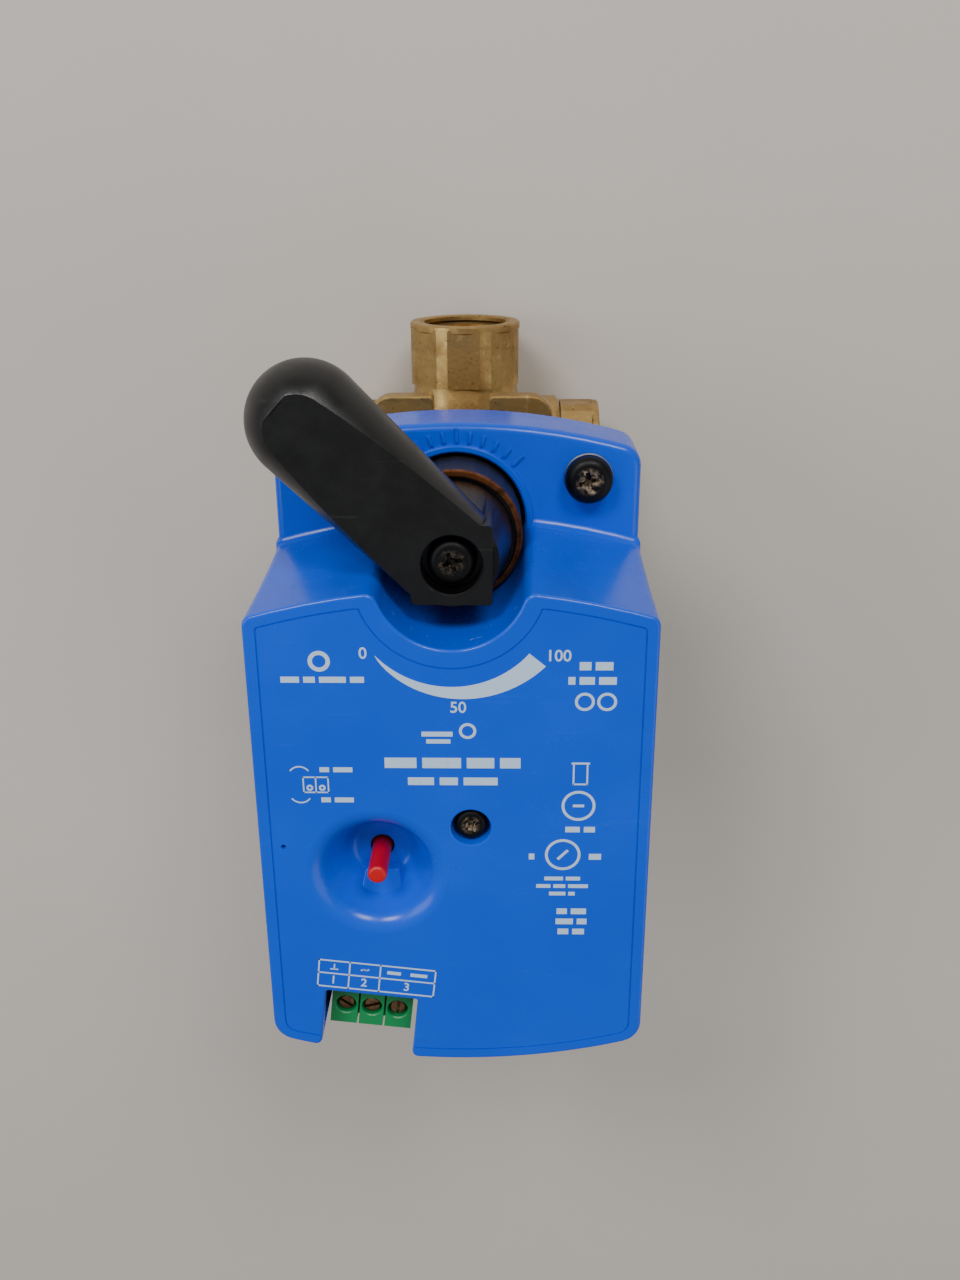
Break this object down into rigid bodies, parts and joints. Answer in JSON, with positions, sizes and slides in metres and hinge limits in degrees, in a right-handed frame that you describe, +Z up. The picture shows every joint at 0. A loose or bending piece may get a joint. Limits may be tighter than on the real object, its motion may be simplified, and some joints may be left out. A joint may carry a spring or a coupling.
{
  "type": "rotary valve actuator",
  "caption": "Motorised quarter-turn actuator head with a position lever and release button, standing on a three-way threaded ball valve.",
  "frame": {"origin": "centre of the valve's ball, where the run's axis, the branch's axis and the stem's axis meet", "axes": "+Z up the stem and out of the cover's face, +Y along the branch port, +X along the run towards the end adapter"},
  "size_m": [0.0704, 0.1318, 0.1062],
  "materials": {
    "azure_abs": "smooth gloss moulded ABS",
    "charcoal_abs": "fine spark-eroded moulded ABS",
    "black_nylon": "satin moulded glass-filled nylon",
    "black_screw_steel": "black oxide steel, worn and lightly corroded in the recess",
    "zinc_steel": "bright zinc plated steel",
    "spring_steel": "drawn spring wire",
    "gear_steel": "sintered and machined steel",
    "stainless_steel": "turned stainless steel",
    "forged_brass": "forged brass, dull and slightly tarnished",
    "brass_screw": "plated terminal screw, tarnished brown",
    "copper_bronze": "bronze, worn and browned",
    "chromed_brass": "polished hard chrome",
    "red_nylon": "moulded red nylon",
    "green_polyamide": "moulded green polyamide",
    "board_laminate": "glass epoxy laminate under solder mask",
    "black_sleeve": "shrink sleeve on an aluminium can",
    "black_epoxy": "moulded epoxy",
    "white_acetal": "moulded acetal",
    "white_ptfe": "turned PTFE",
    "seal_rubber": "moulded EPDM rubber"
  },
  "bodies": {
    "housing": {"ball_seat_left": "white_ptfe", "ball_seat_right": "white_ptfe", "base_tray": "charcoal_abs", "bearing_plate": "zinc_steel", "board_screw_1": "zinc_steel", "board_screw_2": "zinc_steel", "board_screw_3": "zinc_steel", "circuit_board": "board_laminate", "control_chip": "black_epoxy", "cover": "azure_abs", "cover_screw": "black_screw_steel", "cover_seal": "seal_rubber", "drive_motor": "zinc_steel", "end_adapter": "forged_brass", "first_arbor": "gear_steel", "mode_jumper": "black_epoxy", "plate_screw_1": "zinc_steel", "plate_screw_2": "zinc_steel", "plate_screw_3": "zinc_steel", "release_spring": "spring_steel", "second_arbor": "gear_steel", "shelf_screw_left": "black_screw_steel", "shelf_screw_right": "black_screw_steel", "shelf_washer_left": "zinc_steel", "shelf_washer_right": "zinc_steel", "sleeve_bearing": "copper_bronze", "smoothing_capacitor": "black_sleeve", "supply_choke": "black_epoxy", "terminal_block": "green_polyamide", "terminal_screw_1": "brass_screw", "terminal_screw_2": "brass_screw", "terminal_screw_3": "brass_screw", "valve_body": "forged_brass"},
    "lever_assembly": {"lever": "black_nylon", "lever_screw": "black_screw_steel", "output_sleeve": "black_nylon", "sleeve_ring": "copper_bronze", "output_sector": "gear_steel", "valve_stem": "stainless_steel", "valve_ball": "chromed_brass", "stem_seal_1": "seal_rubber", "stem_seal_2": "seal_rubber"},
    "second_wheel": {"second_gear": "gear_steel"},
    "first_wheel": {"first_gear": "white_acetal"},
    "motor_rotor": {"motor_pinion": "forged_brass", "motor_shaft": "gear_steel"},
    "release": {"release_button": "red_nylon"}
  },
  "joints": [
    {"name": "lever_turn", "type": "hinge", "parent": "housing", "child": "lever_assembly", "pos_m": [0, 0, 0], "axis": [0, 0, 1], "range_deg": [-90, 0]},
    {"name": "second_wheel_spin", "type": "hinge", "parent": "housing", "child": "second_wheel", "pos_m": [0, -0.03, 0.045], "axis": [0, 0, 1], "range_deg": [0, 360]},
    {"name": "first_wheel_spin", "type": "hinge", "parent": "housing", "child": "first_wheel", "pos_m": [0.01623, -0.03435, 0.05], "axis": [0, 0, 1], "range_deg": [-900, 0]},
    {"name": "motor_spin", "type": "hinge", "parent": "housing", "child": "motor_rotor", "pos_m": [0.01887, -0.04932, 0.05], "axis": [0, 0, 1], "range_deg": [0, 3375]},
    {"name": "release_press", "type": "slide", "parent": "housing", "child": "release", "axis": [0, 0, -1], "range_m": [0, 0.003], "stiffness_N_per_m": 400, "springref_m": -0.0015, "deforming": ["release_spring"]}
  ],
  "couplings": [
    {"joint": "second_wheel_spin", "follows": "lever_turn", "ratio": -4},
    {"joint": "first_wheel_spin", "follows": "lever_turn", "ratio": 10},
    {"joint": "motor_spin", "follows": "lever_turn", "ratio": -37.5}
  ]
}
